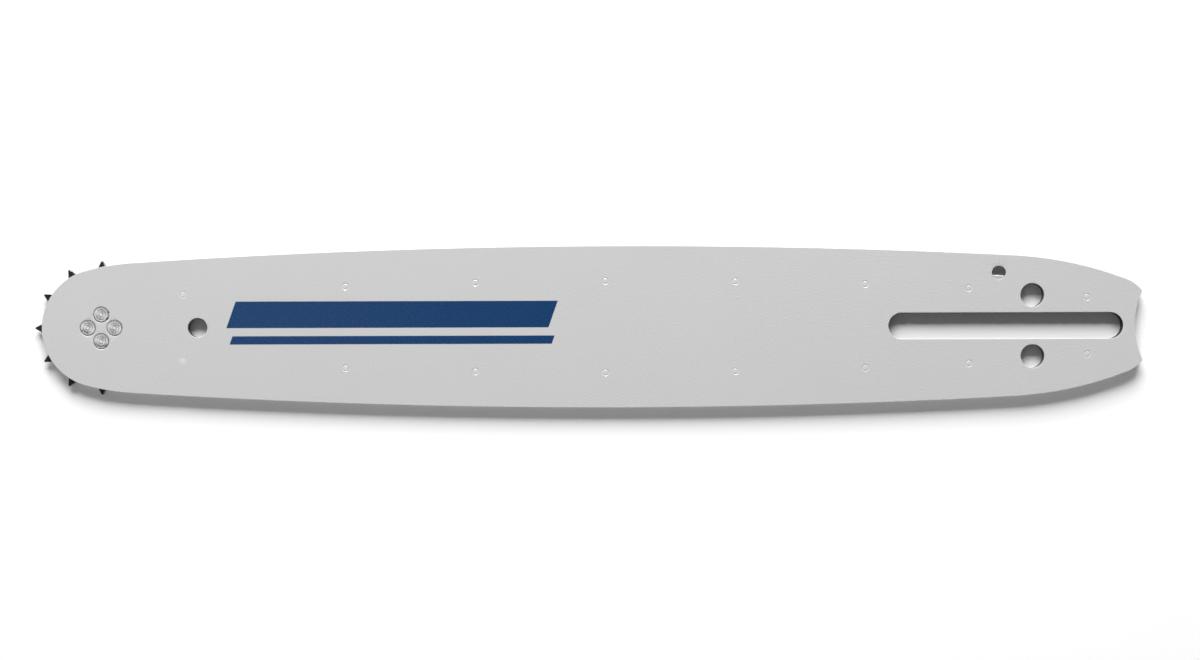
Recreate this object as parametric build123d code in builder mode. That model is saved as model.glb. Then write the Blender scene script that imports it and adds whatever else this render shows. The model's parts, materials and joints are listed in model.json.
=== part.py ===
from build123d import *
import os
from math import atan, degrees, pi, radians, sin, sqrt, tan

# Chainsaw guide bar: two welded side plates, a narrower core plate that leaves the chain groove,
# and a toothed sprocket that turns on needle rollers in the nose.
# The bar lies flat with its nose towards -X. The origin is the middle of the stud slot on the underside.

# Laminations
plate_thickness = 1.2
core_thickness = 1.4
groove_depth = 7.5

# Edge of the bar, seen from above
nose_reach = 325.75
nose_radius = 21.4
nose_shoulder = 1.2
nose_blend_radius = 83.0
bar_width = 58.2
crown_reach = 139.0
tail_curve_start = 2.75
tail_corner_radius = 13.2
tail_corner_height = 4.4
tail_notch_radius = 30.0
tail_horn = 5.5
tail_tip_rounding = 0.6

# Stud slot and chain adjuster holes
slot_length = 84.5
slot_width = 9.5
tail_wall = 4.2
adjuster_diameter = 8.5
adjuster_web = 2.0
adjuster_x = 9.55

# Oil hole into the groove, and the round hole behind the nose
oil_diameter = 5.0
oil_x = -2.45
oil_over_groove = 0.9
hang_diameter = 7.0
hang_reach = 34.7

# Nose rivets, clamped hub and needle rollers
rivet_count = 4
rivet_shank = 5.1
rivet_flare = 0.3
rivet_head_depth = 0.3
rivet_spacing = 1.1
rivet_clearance = 0.03
hub_wall = 1.0
roller_diameter = 3.5
roller_gap = 0.6
roller_clearance = 0.03
side_clearance = 0.1

# Sprocket
tooth_count = 12
tooth_stand = 2.7
tooth_tip_flat = 0.5
tooth_flank_angle = 27.0
tooth_valley_radius = 2.5
sprocket_room = 1.0

# Heights of the layers
core_bottom = plate_thickness
core_top = core_bottom + core_thickness
bar_top = core_top + plate_thickness
running_thickness = core_thickness - 2 * side_clearance
running_bottom = core_bottom + side_clearance

# Places along the bar
nose = Vector(-nose_reach, 0)
notch_x = slot_length / 2 + tail_wall
tail_x = notch_x + tail_horn
adjuster_y = slot_width / 2 + adjuster_web + adjuster_diameter / 2
hang_x = nose.X + hang_reach

# The rail is one shallow arc, widest at its crown, that passes just outside the nose circle
half_width = bar_width / 2
crown_to_nose = nose_reach - crown_reach
rail_at_nose = nose_radius + nose_shoulder
rail_radius = (crown_to_nose**2 + half_width**2 - rail_at_nose**2) / (2 * (half_width - rail_at_nose))
rail_centre = Vector(-crown_reach, half_width - rail_radius)


def rail_height(x):
    """Height of the rail's edge above the bar's middle line."""
    return rail_centre.Y + sqrt(rail_radius**2 - (x - rail_centre.X) ** 2)


def circles_meet(centre_a, radius_a, centre_b, radius_b):
    """The point where two circles cross, on the left hand going from a to b."""
    across = centre_b - centre_a
    along = (across.length**2 + radius_a**2 - radius_b**2) / (2 * across.length)
    off = sqrt(radius_a**2 - along**2)
    way = across.normalized()
    return centre_a + way * along + Vector(-way.Y, way.X) * off


# The nose blend touches the nose circle and the rail from inside
blend_centre = circles_meet(
    nose, nose_blend_radius - nose_radius, rail_centre, rail_radius - nose_blend_radius
)

# The tail curve leaves the rail at its start and touches the corner circle
tail_start = Vector(tail_curve_start, rail_height(tail_curve_start))
rail_out = (tail_start - rail_centre).normalized()
corner_centre = Vector(tail_x - tail_corner_radius, tail_corner_height)
corner_span = tail_start - corner_centre
tail_radius = (corner_span.length**2 - tail_corner_radius**2) / (
    2 * (corner_span.dot(rail_out) - tail_corner_radius)
)
tail_centre = tail_start - rail_out * tail_radius


def bar_face(inset):
    """The bar's face with its edge drawn in by an inset, before any hole is cut."""
    arcs = [
        (nose, nose_radius - inset),
        (blend_centre, nose_blend_radius - inset),
        (rail_centre, rail_radius - inset),
        (tail_centre, tail_radius - inset),
        (corner_centre, tail_corner_radius - inset),
    ]
    # Each way points out from the arcs' centres to where one arc hands over to the next
    ways = [
        Vector(-1, 0),
        (nose - blend_centre).normalized(),
        (blend_centre - rail_centre).normalized(),
        rail_out,
        (corner_centre - tail_centre).normalized(),
        Vector(1, 0),
    ]
    with BuildSketch() as face:
        with BuildLine():
            for (centre, radius), start, end in zip(arcs, ways, ways[1:]):
                middle = (start + end).normalized()
                ThreePointArc(centre + start * radius, centre + middle * radius, centre + end * radius)
            tail_top = corner_centre + Vector(tail_corner_radius - inset, 0)
            Line(tail_top, (tail_top.X, 0))
            mirror(about=Plane.XZ)
        make_face()
        with Locations((notch_x + tail_notch_radius, 0)):
            Circle(tail_notch_radius, mode=Mode.SUBTRACT)
    return face.sketch


def through_holes():
    """The slot and holes that go through all three plates."""
    with BuildSketch() as holes:
        SlotOverall(slot_length, slot_width)
        with Locations((adjuster_x, adjuster_y), (adjuster_x, -adjuster_y)):
            Circle(adjuster_diameter / 2)
        with Locations((hang_x, 0)):
            Circle(hang_diameter / 2)
    return holes.sketch


# Rivet circle, hub and roller track follow from the rivets
rivet_head = rivet_shank + 2 * rivet_flare
rivet_circle = (rivet_head + rivet_spacing) / (2 * sin(pi / rivet_count))
rivet_head_angle = 2 * degrees(atan(rivet_flare / rivet_head_depth))
rivet_hole = rivet_shank / 2 + rivet_clearance
hub_radius = rivet_circle + rivet_shank / 2 + hub_wall
roller_orbit = hub_radius + roller_clearance + roller_diameter / 2
roller_count = int(2 * pi * roller_orbit / (roller_diameter + roller_gap))
sprocket_bore = roller_orbit + roller_diameter / 2 + roller_clearance
sprocket_tip = nose_radius + tooth_stand

# Upper side plate
oil_y = rail_height(oil_x) - groove_depth + oil_over_groove
with BuildPart() as side_plate_upper:
    with BuildSketch(Plane.XY.offset(core_top)) as plate_face:
        add(bar_face(0))
        tips = plate_face.vertices().group_by(Axis.X)[-1]
        fillet(tips, tail_tip_rounding)
        add(through_holes(), mode=Mode.SUBTRACT)
        with Locations((oil_x, oil_y)):
            Circle(oil_diameter / 2, mode=Mode.SUBTRACT)
    extrude(amount=plate_thickness)
    with Locations((nose.X, 0, bar_top)):
        with PolarLocations(rivet_circle, rivet_count):
            CounterSinkHole(
                rivet_hole,
                rivet_head / 2 + rivet_clearance,
                counter_sink_angle=rivet_head_angle,
            )

# Lower side plate: the same pressing turned over about the bar's length
with BuildPart() as side_plate_lower:
    with Locations((0, 0, bar_top)):
        add(side_plate_upper.part, rotation=(180, 0, 0))

# Core plate: drawn in from the rails to leave the groove, and cut back round the sprocket
with BuildPart() as core_plate:
    with BuildSketch(Plane.XY.offset(core_bottom)):
        add(bar_face(groove_depth))
        add(through_holes(), mode=Mode.SUBTRACT)
        with Locations((nose.X, 0)):
            Circle(sprocket_tip + sprocket_room, mode=Mode.SUBTRACT)
    extrude(amount=core_thickness)

# Bearing hub: the inner race, as thick as the core and held by the rivets
with BuildPart() as bearing_hub:
    with BuildSketch(Plane((nose.X, 0, core_bottom))):
        Circle(hub_radius)
        with PolarLocations(rivet_circle, rivet_count):
            Circle(rivet_hole, mode=Mode.SUBTRACT)
    extrude(amount=core_thickness)

# Nose rivets: countersunk at both ends and flush with the side plates
with BuildPart() as rivet:
    with BuildSketch(Plane.XZ):
        with BuildLine():
            Polyline(
                (0, 0),
                (rivet_head / 2, 0),
                (rivet_shank / 2, rivet_head_depth),
                (rivet_shank / 2, bar_top - rivet_head_depth),
                (rivet_head / 2, bar_top),
                (0, bar_top),
                close=True,
            )
        make_face()
    revolve(axis=Axis.Z)

with BuildPart() as nose_rivets:
    with Locations((nose.X, 0, 0)):
        with PolarLocations(rivet_circle, rivet_count):
            add(rivet.part)

# Nose sprocket: straight-flanked teeth with rounded valleys round a plain bore
tooth_pitch = 2 * pi / tooth_count
flank_slope = tan(radians(tooth_flank_angle))
valley_x = (tooth_tip_flat / 2 + sprocket_tip * flank_slope) / (flank_slope + tan(tooth_pitch / 2))
valley_point = Vector(valley_x, valley_x * tan(tooth_pitch / 2))
tip_point = Vector(sprocket_tip, tooth_tip_flat / 2)
with BuildPart() as nose_sprocket:
    with BuildSketch(Plane((nose.X, 0, running_bottom))) as star:
        with BuildLine():
            tooth_turns = [degrees(tooth_pitch) * i for i in range(tooth_count)]
            corners = [Vector(tip_point.X, -tip_point.Y), tip_point, valley_point]
            Polyline([p.rotate(Axis.Z, turn) for turn in tooth_turns for p in corners], close=True)
        make_face()
        fillet(star.vertices().group_by(SortBy.DISTANCE)[0], tooth_valley_radius)
        Circle(sprocket_bore, mode=Mode.SUBTRACT)
    extrude(amount=running_thickness)

# Needle rollers: a full ring between the hub and the sprocket
with BuildPart() as roller:
    with BuildSketch(Plane((nose.X + roller_orbit, 0, running_bottom))):
        Circle(roller_diameter / 2)
    extrude(amount=running_thickness)

# Each piece is written under its own name
side_plate_upper.part.label = "side_plate_upper"
side_plate_lower.part.label = "side_plate_lower"
core_plate.part.label = "core_plate"
bearing_hub.part.label = "bearing_hub"
nose_rivets.part.label = "nose_rivets"
nose_sprocket.part.label = "nose_sprocket"

os.makedirs("parts", exist_ok=True)
export_step(side_plate_upper.part, "parts/side_plate_upper.step")
export_step(side_plate_lower.part, "parts/side_plate_lower.step")
export_step(core_plate.part, "parts/core_plate.step")
export_step(bearing_hub.part, "parts/bearing_hub.step")
export_step(nose_rivets.part, "parts/nose_rivets.step")
export_step(nose_sprocket.part, "parts/nose_sprocket.step")

nose_axis = Axis((nose.X, 0, 0), (0, 0, 1))
for i in range(roller_count):
    with BuildPart() as turned_roller:
        add(roller.part.rotate(nose_axis, 360 / roller_count * i))
    turned_roller.part.label = f"roller_{i + 1:02d}"
    export_step(turned_roller.part, f"parts/roller_{i + 1:02d}.step")
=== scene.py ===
"""Looks of a chainsaw guide bar: painted plates, riveted nose, blued sprocket, studio floor and light."""

import json
from math import atan2, ceil, cos, exp, pi, radians, sin, sqrt, tan

import bmesh
import bpy
from mathutils import Matrix, Quaternion, Vector
from mathutils.geometry import delaunay_2d_cdt


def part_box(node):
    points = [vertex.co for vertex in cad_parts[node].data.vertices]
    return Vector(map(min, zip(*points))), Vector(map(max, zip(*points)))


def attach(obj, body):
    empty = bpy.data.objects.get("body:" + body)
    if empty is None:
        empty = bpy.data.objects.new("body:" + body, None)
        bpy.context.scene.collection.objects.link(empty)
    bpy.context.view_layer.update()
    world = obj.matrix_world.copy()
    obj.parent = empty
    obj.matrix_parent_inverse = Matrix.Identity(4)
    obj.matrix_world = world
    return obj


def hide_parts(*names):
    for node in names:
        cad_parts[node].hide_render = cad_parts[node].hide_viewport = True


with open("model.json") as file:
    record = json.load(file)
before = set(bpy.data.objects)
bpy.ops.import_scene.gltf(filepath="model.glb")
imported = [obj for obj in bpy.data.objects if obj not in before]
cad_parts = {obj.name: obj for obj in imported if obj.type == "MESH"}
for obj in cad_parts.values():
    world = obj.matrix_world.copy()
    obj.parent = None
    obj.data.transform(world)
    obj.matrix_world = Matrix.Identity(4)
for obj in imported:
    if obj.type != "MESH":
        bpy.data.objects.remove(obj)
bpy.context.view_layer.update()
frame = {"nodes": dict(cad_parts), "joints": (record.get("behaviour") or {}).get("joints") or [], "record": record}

# Side plates: two pressings of hardened steel, spot welded face to face with the core and sprayed light
# grey. The outer edge is ground bare after painting. The mouths of the slot and holes keep their paint.
MM = 0.001
plate_low, plate_high = [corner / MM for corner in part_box("side_plate_upper")]
bar_top = plate_high.z
half_width = plate_high.y
nose = Vector(frame["joints"][0]["pos_m"][:2]) / MM
nose_radius = nose.x - plate_low.x
nose_shoulder = 1.2
nose_blend_radius = 83.0
crown_reach = 139.0
tail_curve_start = 2.75
tail_reach = 51.95
tail_corner_radius = 13.2
tail_corner_height = 4.4
tail_notch = 46.45
tail_notch_radius = 30.0
tail_tip_rounding = 0.6
edge_rounding = 0.15
hole_rounding = 0.2
arc_step_turn = radians(4)
arc_step_length = 2.5
hole_segments = 96
mark_segments = 40
crease_angle = radians(40)

mounts = {mount["name"]: mount for mount in frame["record"]["mounts"]}
slot_length = mounts["stud_slot"]["dims"]["slot_length_mm"]
slot_width = 2 * mounts["stud_slot"]["dims"]["hole_r_mm"]
round_holes = [
    (Vector(mounts[name]["pos_m"][:2]) / MM, mounts[name]["dims"]["r_mm"])
    for name in ("adjuster_hole_left", "adjuster_hole_right", "hang_hole")
]


def circles_meet(centre_a, radius_a, centre_b, radius_b):
    """The point where two circles cross, on the left hand going from a to b."""
    across = centre_b - centre_a
    along = (across.length_squared + radius_a**2 - radius_b**2) / (2 * across.length)
    way = across.normalized()
    return centre_a + way * along + Vector((-way.y, way.x)) * sqrt(radius_a**2 - along**2)


def arc(centre, radius, start, end):
    """Points along an arc between two angles, with its first point and without its last."""
    sweep = abs(end - start)
    count = ceil(max(sweep / arc_step_turn, sweep * radius / arc_step_length))
    turns = [start + (end - start) * i / count for i in range(count)]
    return [centre + radius * Vector((cos(turn), sin(turn))) for turn in turns]


# The rail is one shallow arc. The other arcs of the half outline touch it and each other in a row.
rail_at_nose = nose_radius + nose_shoulder
crown_to_nose = -nose.x - crown_reach
rail_radius = (crown_to_nose**2 + half_width**2 - rail_at_nose**2) / (2 * (half_width - rail_at_nose))
rail_centre = Vector((-crown_reach, half_width - rail_radius))
blend_centre = circles_meet(
    nose, nose_blend_radius - nose_radius, rail_centre, rail_radius - nose_blend_radius
)
rail_end_y = rail_centre.y + sqrt(rail_radius**2 - (tail_curve_start + crown_reach) ** 2)
rail_end = Vector((tail_curve_start, rail_end_y))
rail_out = (rail_end - rail_centre).normalized()
corner_centre = Vector((tail_reach - tail_corner_radius, tail_corner_height))
corner_span = rail_end - corner_centre
tail_radius = (corner_span.length_squared - tail_corner_radius**2) / (
    2 * (corner_span.dot(rail_out) - tail_corner_radius)
)
tail_centre = rail_end - rail_out * tail_radius
notch_centre = Vector((tail_notch + tail_notch_radius, 0))
tip_centre = circles_meet(
    corner_centre,
    tail_corner_radius - tail_tip_rounding,
    notch_centre,
    tail_notch_radius + tail_tip_rounding,
)


def edge_height(x):
    """Height of the rail or of the tail curve above the middle line of the bar."""
    centre, radius = (rail_centre, rail_radius) if x < tail_curve_start else (tail_centre, tail_radius)
    return centre.y + sqrt(radius**2 - (x - centre.x) ** 2)


def bar_outline():
    """The closed edge of a side plate, counterclockwise."""
    arcs = [
        (nose, nose_radius),
        (blend_centre, nose_blend_radius),
        (rail_centre, rail_radius),
        (tail_centre, tail_radius),
        (corner_centre, tail_corner_radius),
        (tip_centre, tail_tip_rounding),
    ]
    ways = [
        Vector((-1, 0)),
        nose - blend_centre,
        blend_centre - rail_centre,
        rail_out,
        corner_centre - tail_centre,
        tip_centre - corner_centre,
        notch_centre - tip_centre,
    ]
    turns = [atan2(way.y, way.x) for way in ways]
    upper = [point for i, (c, r) in enumerate(arcs) for point in arc(c, r, turns[i], turns[i + 1])]
    lower = [Vector((point.x, -point.y)) for point in upper]
    notch_half = -turns[-1]
    notch = arc(notch_centre, tail_notch_radius, pi + notch_half, pi - notch_half)
    notch_end = notch_centre + tail_notch_radius * Vector((-cos(notch_half), sin(notch_half)))
    return lower + notch + [notch_end] + upper[:0:-1]


def slot_edge():
    """The edge of the stud slot, clockwise."""
    reach = Vector(((slot_length - slot_width) / 2, 0))
    tail_end = arc(reach, slot_width / 2, pi / 2, -pi / 2)
    return tail_end + arc(-reach, slot_width / 2, -pi / 2, -3 * pi / 2)


def short_turn(angle):
    """The same angle within half a turn either way."""
    return (angle + pi) % (2 * pi) - pi


def ring(centre, radius, count=hole_segments, chips=()):
    """The edge of a round hole, clockwise.
    A chip is an angle, a depth and a half width where the edge broke out."""
    points = []
    for i in range(count):
        turn = -2 * pi * i / count
        broken = sum(depth * exp(-((short_turn(turn - at) / wide) ** 2)) for at, depth, wide in chips)
        points.append(centre + (radius + broken) * Vector((cos(turn), sin(turn))))
    return points


def raised(point, height):
    """A point of the flat plan at a height."""
    return point.to_3d() + Vector((0, 0, height))


def rounded_wall(low, high, rounding, flare=0, flare_depth=0, steps=4):
    """Steps down a wall as distance into the metal and height.
    The upper edge is rounded, and where there is a flare, a countersink lies below it."""
    turns = [pi / 2 * i / steps for i in range(steps + 1)]
    mouth = [(flare + rounding * (1 - sin(t)), high - rounding * (1 - cos(t))) for t in turns]
    seat = [(0, high - flare_depth)] if flare else []
    return mouth + seat + [(0, low)]


def hole_rings(centre, radius, profile, chips=()):
    """The edge of a round hole carried down a wall profile."""
    return [[raised(p, z) for p in ring(centre, radius + inset, chips=chips)] for inset, z in profile]


def wall_rings(path, profile):
    """A closed path, which has the metal on its left, carried down a wall profile."""
    into = []
    for before, here, after in zip(path[-1:] + path[:-1], path, path[1:] + path[:1]):
        onward = (after - here).normalized()
        along = ((here - before).normalized() + onward).normalized()
        into.append(Vector((-along.y, along.x)) / along.dot(onward))
    return [[raised(p + n * inset, z) for p, n in zip(path, into)] for inset, z in profile]


def skin(bm, rings, closed_end=False):
    """Faces between rows of points that run round the same path. Returns the corners and faces by row."""
    rows = [[bm.verts.new(point) for point in points] for points in rings]
    faces = []
    for upper, lower in zip(rows, rows[1:]):
        pairs = zip(upper, lower, lower[1:] + lower[:1], upper[1:] + upper[:1])
        faces.append([bm.faces.new(corners) for corners in pairs])
    if closed_end:
        faces.append([bm.faces.new(reversed(rows[-1]))])
    return rows, faces


def cover(bm, outer, holes, finish_number, upward):
    """Closes the flat face inside one row of corners and outside the others."""
    corners = outer + [vert for hole in holes for vert in hole]
    number = {vert: i for i, vert in enumerate(corners)}
    areas = [[number[vert] for vert in outer]]
    areas += [[number[vert] for vert in reversed(hole)] for hole in holes]
    _, _, triangles, sources, _, inside = delaunay_2d_cdt([v.co.xy for v in corners], [], areas, 0, 1e-6)
    for triangle, owners in zip(triangles, inside):
        if owners == [0]:
            around = triangle if upward else reversed(triangle)
            bm.faces.new([corners[sources[i][0]] for i in around]).material_index = finish_number


def finished_object(name, bm, finishes):
    """Makes a mesh drawn in millimetres an object in metres, whose flat faces shade flat."""
    mesh = bpy.data.meshes.new(name)
    bm.to_mesh(mesh)
    bm.free()
    mesh.transform(Matrix.Scale(MM, 4))
    mesh.shade_smooth()
    mesh.set_sharp_from_angle(angle=crease_angle)
    for finish in finishes:
        mesh.materials.append(finish)
    piece = bpy.data.objects.new(name, mesh)
    bpy.context.scene.collection.objects.link(piece)
    piece.modifiers.new("flat_faces", "WEIGHTED_NORMAL").keep_sharp = True
    return piece


def flat_piece(name, walls, low, high, face, back, marks=()):
    """A flat plate between two heights, with the finishes of its upper face and of its back.
    A wall is its rings and the finishes of its mouth and side. A mark is a centre, a profile of radius
    and depth pressed into the upper face, and a finish."""
    used = [face, back]
    used += [finish for _, *pair in walls for finish in pair]
    used += [finish for *_, finish in marks]
    finishes = list(dict.fromkeys(used))
    bm = bmesh.new()
    upper_rims, lower_rims = [], []
    for rings, mouth, side in walls:
        rows, faces = skin(bm, rings)
        for upper, lower, row in zip(rings, rings[1:], faces):
            upright = upper[0].z - lower[0].z > (high - low) / 2
            for panel in row:
                panel.material_index = finishes.index(side if upright else mouth)
        upper_rims.append(rows[0])
        lower_rims.append(rows[-1])
    for centre, profile, finish in marks:
        rings = [[raised(p, high - d) for p in ring(centre, r, mark_segments)] for r, d in profile]
        rows, faces = skin(bm, rings, closed_end=True)
        for row in faces:
            for panel in row:
                panel.material_index = finishes.index(finish)
        upper_rims.append(rows[0])
    cover(bm, upper_rims[0], upper_rims[1:], finishes.index(face), upward=True)
    cover(bm, lower_rims[0], lower_rims[1:], finishes.index(back), upward=False)
    return finished_object(name, bm, finishes)


def feed(tree, socket, value):
    """Links a socket to an output, or sets its own value."""
    if isinstance(value, bpy.types.NodeSocket):
        tree.links.new(value, socket)
    else:
        socket.default_value = value


def dress(tree, made, **inputs):
    """Values or links for the named inputs of a node."""
    for key, value in inputs.items():
        feed(tree, made.inputs[key.replace("_", " ")], value)


def node(tree, kind, settings=(), **inputs):
    """A shader node with its settings, and values or links for its named inputs."""
    made = tree.nodes.new(kind)
    for key, value in dict(settings).items():
        setattr(made, key, value)
    dress(tree, made, **inputs)
    return made


def math(tree, operation, *values):
    """The output of a math node."""
    made = node(tree, "ShaderNodeMath", {"operation": operation})
    for socket, value in zip(made.inputs, values):
        feed(tree, socket, value)
    return made.outputs[0]


def vector_math(tree, operation, *values):
    """A vector math node with its first inputs."""
    made = node(tree, "ShaderNodeVectorMath", {"operation": operation})
    for socket, value in zip(made.inputs, values):
        feed(tree, socket, value)
    return made


def ramp(tree, value, start, end, first=0.0, last=1.0):
    """A value that goes evenly from first at start to last at end."""
    made = node(
        tree, "ShaderNodeMapRange", Value=value, From_Min=start, From_Max=end, To_Min=first, To_Max=last
    )
    return made.outputs["Result"]


def noise(tree, place, scale, detail):
    """Cloudy values from 0 to 1 over a place."""
    return node(tree, "ShaderNodeTexNoise", Vector=place, Scale=scale, Detail=detail).outputs["Fac"]


def blend(tree, amount, first, second):
    """The output of a colour mix."""
    made = node(tree, "ShaderNodeMix", {"data_type": "RGBA"})
    for name, value in (("Factor_Float", amount), ("A_Color", first), ("B_Color", second)):
        feed(tree, next(s for s in made.inputs if s.identifier == name), value)
    return next(s for s in made.outputs if s.identifier == "Result_Color")


def relief(tree, height, depth):
    """A surface bumped by a height."""
    return node(tree, "ShaderNodeBump", Height=height, Strength=1.0, Distance=depth).outputs[0]


def object_place(tree):
    """A place on the piece, in metres."""
    return node(tree, "ShaderNodeTexCoord").outputs["Object"]


def shade(red, green, blue):
    """A colour from its screen values."""
    screen = [value / 255 for value in (red, green, blue)]
    linear = [v / 12.92 if v <= 0.04045 else ((v + 0.055) / 1.055) ** 2.4 for v in screen]
    return (*linear, 1)


def group(name, inputs, outputs):
    """An empty shader node group with its input and output nodes."""
    tree = bpy.data.node_groups.new(name, "ShaderNodeTree")
    for key, (kind, value) in inputs.items():
        socket = tree.interface.new_socket(key, in_out="INPUT", socket_type=kind)
        if value is not None:
            socket.default_value = value
    for key, kind in outputs.items():
        tree.interface.new_socket(key, in_out="OUTPUT", socket_type=kind)
    return tree, tree.nodes.new("NodeGroupInput"), tree.nodes.new("NodeGroupOutput")


def placed(tree, inner, **inputs):
    """A node group placed in a material."""
    return node(tree, "ShaderNodeGroup", {"node_tree": inner}, **inputs)


def new_material(name):
    """A material, its tree and its shader."""
    material = bpy.data.materials.new(name)
    material.use_nodes = True
    return material, material.node_tree, material.node_tree.nodes["Principled BSDF"]


FLOAT = "NodeSocketFloat"
COLOUR = "NodeSocketColor"

# Sprayed enamel with a fine orange peel that lies thicker towards the tail
paint_roughness = 0.4
spit_roughness = 0.12
spit_share = 0.2
cloud_swing = 0.05
enamel, given, put = group(
    "sprayed_enamel", {"Grey": (COLOUR, None)}, {"Color": COLOUR, "Roughness": FLOAT, "Height": FLOAT}
)
place = object_place(enamel)
peel = noise(enamel, place, scale=1600.0, detail=2.0)
spit = noise(enamel, place, scale=2600.0, detail=1.0)
cloud = noise(enamel, place, scale=22.0, detail=3.0)
along = node(enamel, "ShaderNodeSeparateXYZ", Vector=place).outputs["X"]
thicker = ramp(enamel, along, start=-0.2, end=0.02, first=0.7, last=1.1)
peeled = math(enamel, "MULTIPLY", peel, 1 - spit_share)
height = math(enamel, "MULTIPLY_ADD", spit, spit_share, peeled)
tone = math(enamel, "MULTIPLY_ADD", cloud, cloud_swing, 1 - cloud_swing / 2)
grey = vector_math(enamel, "SCALE", given.outputs["Grey"])
dress(enamel, grey, Scale=tone)
dress(
    enamel,
    put,
    Color=grey.outputs[0],
    Roughness=math(enamel, "MULTIPLY_ADD", spit, spit_roughness, paint_roughness),
    Height=math(enamel, "MULTIPLY", height, thicker),
)

# Soft-edged stripe of printing ink, slanted at its ends
stripe_slant = 0.35
ink_edge = 0.08
stripe, given, put = group(
    "printed_stripe",
    {"Middle X": (FLOAT, 0.0), "Middle Y": (FLOAT, 0.0), "Length": (FLOAT, 0.1), "Height": (FLOAT, 0.01)},
    {"Mask": FLOAT},
)
place = node(stripe, "ShaderNodeSeparateXYZ", Vector=object_place(stripe))
off_x = math(stripe, "SUBTRACT", place.outputs["X"], given.outputs["Middle X"])
off_y = math(stripe, "SUBTRACT", place.outputs["Y"], given.outputs["Middle Y"])
sheared = math(stripe, "SUBTRACT", off_x, math(stripe, "MULTIPLY", off_y, stripe_slant))
inside = []
for off, size in ((sheared, "Length"), (off_y, "Height")):
    half = math(stripe, "MULTIPLY", given.outputs[size], 0.5)
    room = math(stripe, "SUBTRACT", half, math(stripe, "ABSOLUTE", off))
    inside.append(ramp(stripe, room, start=-ink_edge * MM, end=ink_edge * MM))
dress(stripe, put, Mask=math(stripe, "MULTIPLY", *inside))

# Fine lines left by grinding or rolling, drawn out along one axis, and stains
ground_lines, given, put = group(
    "ground_lines",
    {"Along": (FLOAT, 20.0), "Across": (FLOAT, 4000.0), "Upward": (FLOAT, 4000.0)},
    {"Line": FLOAT, "Stain": FLOAT},
)
place = object_place(ground_lines)
axes = {"X": given.outputs["Along"], "Y": given.outputs["Across"], "Z": given.outputs["Upward"]}
drawn = node(ground_lines, "ShaderNodeCombineXYZ", **axes)
pulled = vector_math(ground_lines, "MULTIPLY", place, drawn.outputs[0]).outputs[0]
line = noise(ground_lines, pulled, scale=1.0, detail=3.0)
stain = noise(ground_lines, place, scale=140.0, detail=4.0)
dress(ground_lines, put, Line=line, Stain=stain)

paint_grey = shade(188, 188, 188)
pooled_grey = shade(197, 197, 197)
peel_depth = 0.12
ink_blue = shade(8, 53, 97)
ink_gloss = 0.18
print_middle = Vector((-221.0, 1.0))
print_length = 116.0
stripes = [(3.6, 9.6), (-5.6, 3.0)]


def painted(name, print_stripes):
    """Grey enamel, with blue stripes printed on it where there are any."""
    material, tree, shader = new_material(name)
    coat = placed(tree, enamel, Grey=paint_grey)
    colour = coat.outputs["Color"]
    rough = coat.outputs["Roughness"]
    for middle_y, tall in print_stripes:
        ink = placed(
            tree,
            stripe,
            Middle_X=print_middle.x * MM,
            Middle_Y=(print_middle.y + middle_y) * MM,
            Length=print_length * MM,
            Height=tall * MM,
        )
        colour = blend(tree, ink.outputs["Mask"], colour, ink_blue)
        rough = math(tree, "MULTIPLY_ADD", ink.outputs["Mask"], -ink_gloss, rough)
    peeled = relief(tree, coat.outputs["Height"], peel_depth * MM)
    dress(tree, shader, Base_Color=colour, Roughness=rough, Normal=peeled)
    return material


# On the rims of the slot and holes the paint is drawn thin and smooth
rim_paint, tree, shader = new_material("thin_grey_enamel")
coat = placed(tree, enamel, Grey=paint_grey)
dress(tree, shader, Base_Color=coat.outputs["Color"], Roughness=coat.outputs["Roughness"])

# In the weld marks the paint pooled and dried thick, smooth and glossy
pooled_paint, tree, shader = new_material("pooled_grey_enamel")
coat = placed(tree, enamel, Grey=pooled_grey)
dress(tree, shader, Base_Color=coat.outputs["Color"], Roughness=0.2, Coat_Weight=1.0, Coat_Roughness=0.12)

stain_swing = 0.3
line_depth = 0.004
fine_line_depth = 0.002


def bare_steel(name, dark, light, roughness, lines, metal=1.0, depth=line_depth):
    """Bare steel with drawn-out lines and stains between two tones."""
    material, tree, shader = new_material(name)
    marks = placed(tree, ground_lines, **lines)
    stained = math(tree, "MULTIPLY", marks.outputs["Stain"], 0.5)
    tone = math(tree, "MULTIPLY_ADD", marks.outputs["Line"], 0.5, stained)
    dress(
        tree,
        shader,
        Base_Color=blend(tree, tone, dark, light),
        Roughness=math(
            tree, "MULTIPLY_ADD", marks.outputs["Stain"], stain_swing, roughness - stain_swing / 2
        ),
        Metallic=metal,
        Normal=relief(tree, marks.outputs["Line"], depth * MM),
    )
    return material


punched_lines = {"Along": 2500.0, "Across": 2500.0, "Upward": 60.0}
rolled_lines = {"Along": 60.0, "Across": 3000.0, "Upward": 3000.0}
rail_steel = bare_steel(
    "ground_rail_steel",
    shade(118, 116, 112),
    shade(196, 195, 192),
    0.34,
    {"Along": 60.0, "Across": 60.0, "Upward": 9000.0},
)
cut_steel = bare_steel(
    "punched_wall_steel", shade(26, 26, 26), shade(66, 66, 66), 0.55, punched_lines, metal=0.4
)
hole_steel = bare_steel(
    "oversprayed_hole_wall", shade(72, 72, 72), shade(118, 118, 118), 0.55, punched_lines, metal=0.2
)
inner_steel = bare_steel(
    "oversprayed_inner_steel", shade(170, 170, 170), shade(214, 214, 213), 0.55, rolled_lines, metal=0.2
)

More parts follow.
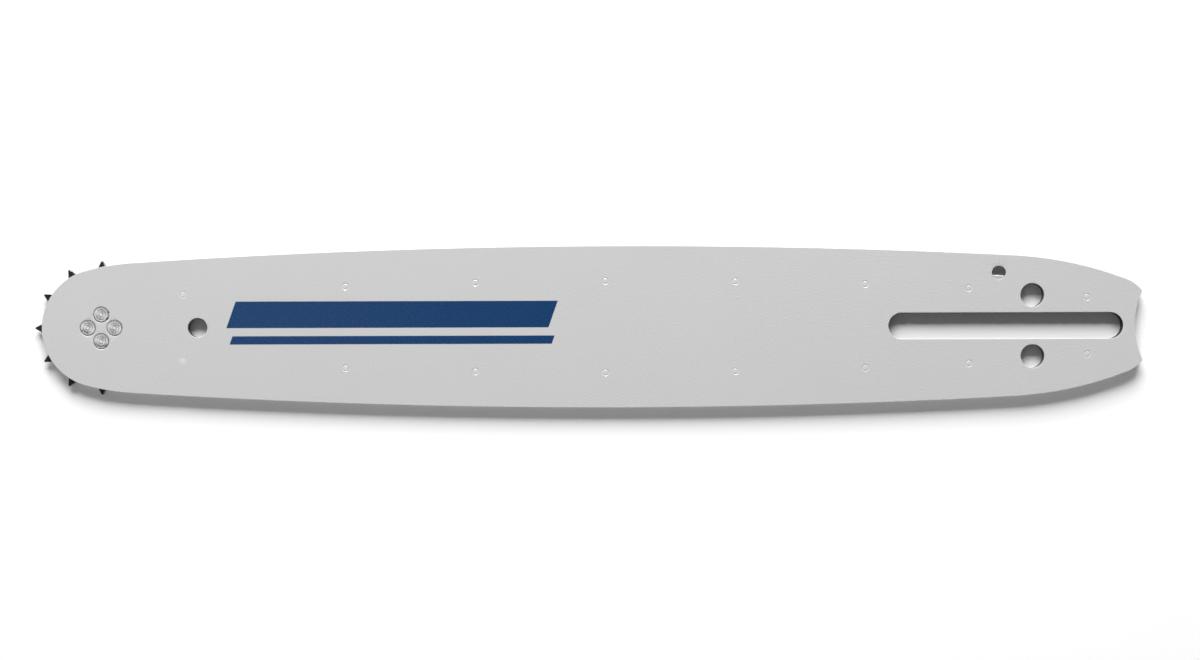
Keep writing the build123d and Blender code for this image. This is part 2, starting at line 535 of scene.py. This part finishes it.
oil_radius = 2.5
oil_x = -2.45
groove_depth = 7.5
oil_over_groove = 0.9
oil_hole = Vector((oil_x, edge_height(oil_x) - groove_depth + oil_over_groove))
rivet_count = 4
rivet_head_radius = 2.85
rivet_shank_radius = 2.55
rivet_head_depth = 0.3
rivet_spacing = 1.1
rivet_clearance = 0.03
rivet_rim_rounding = 0.2
rivet_circle = (2 * rivet_head_radius + rivet_spacing) / (2 * sin(pi / rivet_count))
rivet_turns = [2 * pi * i / rivet_count for i in range(rivet_count)]
rivet_centres = [nose + rivet_circle * Vector((cos(turn), sin(turn))) for turn in rivet_turns]
upper_chips = {1: [(radians(16), 0.3, 0.14), (radians(-35), 0.35, 0.2)]}

# Spot welds: each left a ring pressed round a small button, in two rows along the rails. A place says how
# far along the bar and how far from the rail it lies, and how deep its left and right marks went.
weld_from_rail = 12.6
weld_from_tail = 11.0
weld_row_middle = -144.2
weld_pitch = 46.8
weld_places = [(nose.x + 29.4, weld_from_rail, 0.8, 0.3)]
weld_places += [(weld_row_middle + weld_pitch * i, weld_from_rail, 1.0, 0.95) for i in range(-2, 3)]
weld_places += [(-13.4, weld_from_rail, 1.0, 0.97), (29.2, weld_from_tail, 1.0, 0.95)]
weld_ring_radius = 1.06
weld_ring_width = 0.72
weld_button_radius = 0.3
weld_depth = 0.12
weld_steps = 14


def weld_profile(depth):
    """Radius and depth from the outside of a pressed ring to the button inside it."""
    half = weld_ring_width / 2
    ways = [2 * i / weld_steps - 1 for i in range(weld_steps + 1)]
    groove = [(weld_ring_radius - half * way, depth * (0.5 + 0.5 * cos(pi * way))) for way in ways]
    return groove + [(weld_button_radius, 0)]


def side_plate(name, face_paint, rivet_chips):
    """One pressing, drawn as the upper plate. Chips are listed by the number of their rivet hole."""
    low, high = plate_low.z, plate_high.z
    punched = rounded_wall(low, high, hole_rounding)
    walls = [
        (wall_rings(bar_outline(), rounded_wall(low, high, edge_rounding)), face_paint, rail_steel),
        (wall_rings(slot_edge(), punched), rim_paint, cut_steel),
        (hole_rings(oil_hole, oil_radius, punched), rim_paint, hole_steel),
    ]
    for centre, radius in round_holes:
        walls.append((hole_rings(centre, radius, punched), rim_paint, hole_steel))
    flare = rivet_head_radius - rivet_shank_radius
    sunk = rounded_wall(low, high, rivet_rim_rounding, flare, rivet_head_depth)
    for i, centre in enumerate(rivet_centres):
        rings = hole_rings(centre, rivet_shank_radius + rivet_clearance, sunk, rivet_chips.get(i, ()))
        walls.append((rings, rim_paint, cut_steel))
    marks = []
    for x, from_rail, left, right in weld_places:
        y = edge_height(x) - from_rail
        for side, depth in ((1, left), (-1, right)):
            marks.append((Vector((x, side * y)), weld_profile(depth * weld_depth), pooled_paint))
    return flat_piece(name, walls, low, high, face_paint, inner_steel, marks)


upper_plate = side_plate("painted_plate_upper", painted("printed_grey_enamel", stripes), upper_chips)
lower_plate = side_plate("painted_plate_lower", painted("plain_grey_enamel", []), {})
lower_plate.data.transform(Matrix.Translation((0, 0, bar_top * MM)) @ Matrix.Rotation(pi, 4, "X"))
for plate, hidden in ((upper_plate, "side_plate_upper"), (lower_plate, "side_plate_lower")):
    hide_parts(hidden)
    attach(plate, "bar")

# Core plate: rolled steel strip welded between the side plates, seen in the oil holes and down in the
# groove. Its outer edge is rounded by tumbling, and the pocket round the sprocket is punched out.
core_low, core_high = [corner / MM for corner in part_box("core_plate")]
core_rounding = 0.25
sprocket_pocket = 25.1


def core_outline():
    """The closed edge of the core plate, counterclockwise."""
    rail = rail_radius - groove_depth
    start = circles_meet(nose, sprocket_pocket, rail_centre, rail)
    corner_way = corner_centre - tail_centre
    rail_end_turn = atan2(rail_out.y, rail_out.x)
    corner_turn = atan2(corner_way.y, corner_way.x)
    from_centre = start - rail_centre
    upper = arc(rail_centre, rail, atan2(from_centre.y, from_centre.x), rail_end_turn)
    upper += arc(tail_centre, tail_radius - groove_depth, rail_end_turn, corner_turn)
    upper += arc(corner_centre, tail_corner_radius - groove_depth, corner_turn, 0)
    upper.append(corner_centre + Vector((tail_corner_radius - groove_depth, 0)))
    lower = [Vector((point.x, -point.y)) for point in upper]
    from_nose = start - nose
    half_pocket = atan2(from_nose.y, from_nose.x)
    return lower + upper[:0:-1] + arc(nose, sprocket_pocket, half_pocket, -half_pocket)


core_face = bare_steel(
    "rolled_core_steel", shade(176, 176, 175), shade(224, 224, 222), 0.45, rolled_lines, metal=0.3
)
core_edge = bare_steel(
    "tumbled_core_edge",
    shade(214, 214, 212),
    shade(240, 240, 238),
    0.4,
    {"Along": 60.0, "Across": 60.0, "Upward": 5000.0},
    metal=0.3,
)
rounded_top = rounded_wall(core_low.z, core_high.z, core_rounding)[:-1]
rounded_edge = rounded_top + [(inset, core_low.z + core_high.z - z) for inset, z in reversed(rounded_top)]
plain_wall = [(0, core_high.z), (0, core_low.z)]
walls = [
    (wall_rings(core_outline(), rounded_edge), core_edge, cut_steel),
    (wall_rings(slot_edge(), plain_wall), cut_steel, cut_steel),
]
for centre, radius in round_holes:
    walls.append((hole_rings(centre, radius, plain_wall), hole_steel, hole_steel))
core = flat_piece("rolled_core", walls, core_low.z, core_high.z, core_face, core_face)
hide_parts("core_plate")
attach(core, "bar")

# Bearing hub and rollers: hardened and ground steel inside the nose. The rivets clamp the hub between the
# plates. The rollers lie loose in a ring between the hub and the bore of the sprocket.
bearing_steel = bare_steel(
    "ground_bearing_steel",
    shade(120, 120, 122),
    shade(206, 206, 208),
    0.25,
    {"Along": 900.0, "Across": 900.0, "Upward": 9000.0},
    depth=fine_line_depth,
)
for name, piece in frame["nodes"].items():
    if name == "bearing_hub" or name.startswith("roller_"):
        piece.data.materials.clear()
        piece.data.materials.append(bearing_steel)

# Nose rivets: four soft steel pins, spun over into the countersinks of both plates and faced flush.
# The facing tool left fine rings, and the rim of each head stands a hair away from the paint.
# A nick is a dent at an angle and a radius, with a depth and a half width. A ledge steps down to the rim.
rivet_rim = 0.3
rivet_rim_drop = 0.1
rivet_runout = Vector((-0.06, 0.08, 0))
rivet_play = 0.05
rivet_segments = 96
rivet_rings = 84
turned_pitch = 0.22
turned_depth = 0.0152
turned_middle = 0.8
ring_pitch = 0.9
ring_wobble = 0.15
ring_swell = 0.4
ring_contrast = 0.2
smear_contrast = 0.3
turned_roughness = 0.2
# Painted shade in the recesses: depths below the face where the darkening starts and where it is full, and the
# roughness it adds
recess_roughness = 0.4
recess_shade_start = 0.14
recess_shade_full = 0.18
nick_breadth = 0.17
rivet_nicks = {1: [(radians(16), 2.75, 0.25, 0.12), (radians(-35), 2.65, 0.3, 0.2)]}
ledge_breadth = 0.08
rivet_ledges = {2: [(radians(-118), 1.65, 0.09, 0.65)], 3: [(radians(-97), 1.85, 0.13, 1.0)]}


def turned_face(radius):
    """Depth of the fine rings that the tool scooped out, at a radius.
    They swell and fade, and spare the middle."""
    across = 2 * ((radius / turned_pitch) % 1) - 1
    swell = 1 - ring_swell + ring_swell * cos(2 * pi * radius / ring_pitch)
    return turned_depth * swell * min(1, radius / turned_middle) * (1 - across**2)


def rivet_profile():
    """Radius and height from the middle of the upper head to the middle of the rivet."""
    edge = rivet_head_radius - rivet_play
    flat = edge - rivet_rim
    steps = [flat * i / rivet_rings for i in range(1, rivet_rings)]
    face = [(radius, bar_top - turned_face(radius)) for radius in steps]
    rim = [(flat, bar_top), (edge, bar_top - rivet_rim_drop)]
    return face + rim + [(rivet_shank_radius, bar_top - rivet_head_depth)]


rivet_steel, tree, shader = new_material("turned_rivet_steel")
place = object_place(tree)
level = vector_math(tree, "MULTIPLY", place, (1, 1, 0)).outputs[0]
reach = vector_math(tree, "LENGTH", level).outputs["Value"]
smear = noise(tree, place, scale=900.0, detail=3.0)
wobble = math(tree, "MULTIPLY_ADD", smear, ring_wobble * ring_pitch * MM, reach)
rings = math(tree, "SINE", math(tree, "MULTIPLY", wobble, 2 * pi / (ring_pitch * MM)))
smeared = math(tree, "MULTIPLY_ADD", smear, smear_contrast, 0.5 - smear_contrast / 2)
tone = math(tree, "MULTIPLY_ADD", rings, ring_contrast, smeared)
upward = node(tree, "ShaderNodeSeparateXYZ", Vector=place).outputs["Z"]
rise = math(tree, "SUBTRACT", upward, bar_top / 2 * MM)
depth = math(tree, "SUBTRACT", bar_top / 2 * MM, math(tree, "ABSOLUTE", rise))
# Deeper than the face, on the rim, nicks and ledges, the head darkens to near black and grows rougher: painted
# shade in the recesses
recess_shade = ramp(tree, depth, start=recess_shade_start * MM, end=recess_shade_full * MM)
turned = blend(tree, tone, shade(172, 172, 172), shade(245, 245, 244))
dress(
    tree,
    shader,
    Base_Color=blend(tree, recess_shade, turned, shade(64, 63, 62)),
    Roughness=math(tree, "MULTIPLY_ADD", recess_shade, recess_roughness, turned_roughness),
    Metallic=0.85,
)


def nose_rivet(name, centre, nicks, ledges):
    """One rivet about its own middle, with the nicks and ledges of its upper head."""
    half = rivet_profile()
    profile = half + [(r, bar_top - z) for r, z in reversed(half)]
    turns = [2 * pi * i / rivet_segments for i in range(rivet_segments)]
    rings = [[Vector((r * cos(t), r * sin(t), z)) for t in turns] for r, z in profile]
    head = [point for points in rings for point in points if point.z > bar_top / 2]
    for point in head:
        reach = point.xy.length
        angle = atan2(point.y, point.x)
        wander = rivet_runout * reach / rivet_head_radius
        if point.z > bar_top - rivet_rim_drop / 2:
            point += wander
        elif point.z > bar_top - rivet_head_depth:
            point.z += rivet_rim_drop / rivet_rim * wander.dot(point.xy.normalized().to_3d())
        for at, radius, depth, wide in nicks:
            round_way = (short_turn(angle - at) / wide) ** 4
            point.z -= depth * exp(-round_way - ((reach - radius) / nick_breadth) ** 2)
        for at, radius, depth, wide in ledges:
            round_way = (short_turn(angle - at) / wide) ** 4
            point.z -= depth * exp(-round_way) / (1 + exp((radius - reach) / ledge_breadth))
    bm = bmesh.new()
    rows, _ = skin(bm, rings, closed_end=True)
    bm.faces.new(rows[0])
    rivet = finished_object(name, bm, [rivet_steel])
    rivet.location = (centre * MM).to_3d()
    return rivet


for i, centre in enumerate(rivet_centres):
    rivet = nose_rivet(f"nose_rivet_{i + 1}", centre, rivet_nicks.get(i, []), rivet_ledges.get(i, []))
    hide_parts("nose_rivets")
    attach(rivet, "bar")

# Nose sprocket: a flat toothed wheel blanked from spring steel and blued, loose between the plates.
# The chain has rubbed the edges of its teeth, where the brown and bright metal shows.
wheel_low, wheel_high = [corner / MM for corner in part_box("nose_sprocket")]
tooth_count = 12
tooth_tip = (wheel_high.x - wheel_low.x) / 2
tooth_tip_flat = 0.5
tooth_flank_angle = radians(27)
tooth_valley_radius = 2.5
tooth_rounding = 0.08
sprocket_bore = 11.918
blued_roughness = 0.3
mottle_roughness = 0.3


def toothed_edge():
    """The edge of the sprocket, counterclockwise."""
    half_pitch = pi / tooth_count
    slope = tan(tooth_flank_angle)
    valley_x = (tooth_tip_flat / 2 + tooth_tip * slope) / (slope + tan(half_pitch))
    half_opening = tooth_flank_angle + half_pitch
    bend_reach = valley_x / cos(half_pitch) + tooth_valley_radius / sin(half_opening)
    bend_half = pi / 2 - half_opening
    points = []
    for i in range(tooth_count):
        tooth = 2 * half_pitch * i
        for side in (-1, 1):
            tip = Vector((tooth_tip, side * tooth_tip_flat / 2))
            tip.rotate(Matrix.Rotation(tooth, 2))
            points.append(nose + tip)
        middle = tooth + half_pitch
        bend = nose + bend_reach * Vector((cos(middle), sin(middle)))
        points += arc(bend, tooth_valley_radius, middle + pi + bend_half, middle + pi - bend_half)
    return points


blued_steel, tree, shader = new_material("blued_sprocket_steel")
mottle = noise(tree, object_place(tree), scale=700.0, detail=4.0)
dress(
    tree,
    shader,
    Base_Color=blend(tree, mottle, shade(18, 21, 28), shade(46, 50, 61)),
    Roughness=math(tree, "MULTIPLY_ADD", mottle, mottle_roughness, blued_roughness),
    Metallic=0.5,
)
rubbed_steel = bare_steel(
    "rubbed_tooth_steel",
    shade(70, 60, 54),
    shade(196, 188, 178),
    0.36,
    {"Along": 900.0, "Across": 900.0, "Upward": 900.0},
    depth=fine_line_depth,
)
blanked = rounded_wall(wheel_low.z, wheel_high.z, tooth_rounding)
walls = [
    (wall_rings(toothed_edge(), blanked), rubbed_steel, blued_steel),
    (hole_rings(nose, sprocket_bore, blanked), blued_steel, blued_steel),
]
sprocket = flat_piece("toothed_sprocket", walls, wheel_low.z, wheel_high.z, blued_steel, blued_steel)
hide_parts("nose_sprocket")
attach(sprocket, "sprocket")

# Studio: a wide pale floor that the bar lies on, matt and nearly white, soft light from behind the bar,
# a weaker card in front of it, a strip over the nose, and a camera straight above. Lights are in metres.
picture_width = 1200
picture_scale = 0.36
camera_height = 600.0
camera_over = Vector((-146.15, -1.2))
camera_roll = radians(-0.16)
light_reach = 1.6
key_rise = radians(29)
key_shift = -0.1
key_size = (1.3, 0.85)
key_power = 58.0
fill_rise = radians(12)
fill_size = (1.8, 0.5)
fill_power = 16.5
nose_light_height = 1.2
nose_light_size = (0.13, 0.85)
nose_light_power = 0.53
nose_light_roll = radians(-22)
wall_rise = 0.2
ceiling_glow = 0.095
floor_half = 1.5
floor_fade_start = 0.6
floor_fade_end = 1.4
floor_gap = 0.05

floor_paint, tree, shader = new_material("pale_floor")
place = object_place(tree)
grain = noise(tree, place, scale=900.0, detail=2.0)
from_middle = vector_math(tree, "LENGTH", place).outputs["Value"]
dress(
    tree,
    shader,
    Base_Color=blend(tree, grain, shade(247, 247, 247), shade(251, 251, 251)),
    Roughness=0.9,
    Alpha=ramp(tree, from_middle, start=floor_fade_start, end=floor_fade_end, first=1.0, last=0.0),
)
bm = bmesh.new()
bmesh.ops.create_grid(bm, x_segments=8, y_segments=8, size=floor_half)
mesh = bpy.data.meshes.new("studio_floor")
bm.to_mesh(mesh)
bm.free()
mesh.materials.append(floor_paint)
floor = bpy.data.objects.new("studio_floor", mesh)
bpy.context.scene.collection.objects.link(floor)
floor.location = (camera_over.x * MM, 0, -floor_gap * MM)


def softbox(name, place, target, size, power, roll=0):
    """A rectangular area light that faces a point, rolled about its own middle line."""
    lamp = bpy.data.lights.new(name, "AREA")
    lamp.shape = "RECTANGLE"
    lamp.size, lamp.size_y = size
    lamp.energy = power
    box = bpy.data.objects.new(name, lamp)
    box.location = place
    facing = (target - place).to_track_quat("-Z", "Y")
    box.rotation_euler = (facing @ Quaternion((0, 0, 1), roll)).to_euler()
    bpy.context.scene.collection.objects.link(box)


bar_middle = (camera_over * MM).to_3d()
key_place = bar_middle + Vector((key_shift, light_reach * cos(key_rise), light_reach * sin(key_rise)))
softbox("key_softbox", key_place, bar_middle, key_size, key_power)
fill_place = bar_middle + light_reach * Vector((0, -cos(fill_rise), sin(fill_rise)))
softbox("fill_card", fill_place, bar_middle, fill_size, fill_power)
nose_middle = (nose * MM).to_3d()
mirrored = (nose_middle.x - bar_middle.x) * nose_light_height / (camera_height * MM)
nose_light_place = nose_middle + Vector((mirrored, 0, nose_light_height))
softbox("nose_softbox", nose_light_place, nose_middle, nose_light_size, nose_light_power, nose_light_roll)

world = bpy.data.worlds.new("studio")
world.use_nodes = True
tree = world.node_tree
sky = node(tree, "ShaderNodeSeparateXYZ", Vector=node(tree, "ShaderNodeTexCoord").outputs["Generated"])
pale_walls = ramp(tree, sky.outputs["Z"], start=0.0, end=wall_rise, first=1.0, last=ceiling_glow)
dress(tree, tree.nodes["Background"], Color=(1, 1, 1, 1), Strength=pale_walls)
bpy.context.scene.world = world
bpy.context.scene.view_settings.view_transform = "Standard"

lens = bpy.data.cameras.new("camera")
lens.sensor_width = 36.0
lens.lens = camera_height * lens.sensor_width / (picture_width * picture_scale)
camera = bpy.data.objects.new("camera", lens)
camera.location = (*(camera_over * MM), camera_height * MM + bar_top * MM)
camera.rotation_euler = (0, 0, camera_roll)
bpy.context.scene.collection.objects.link(camera)
bpy.context.scene.camera = camera
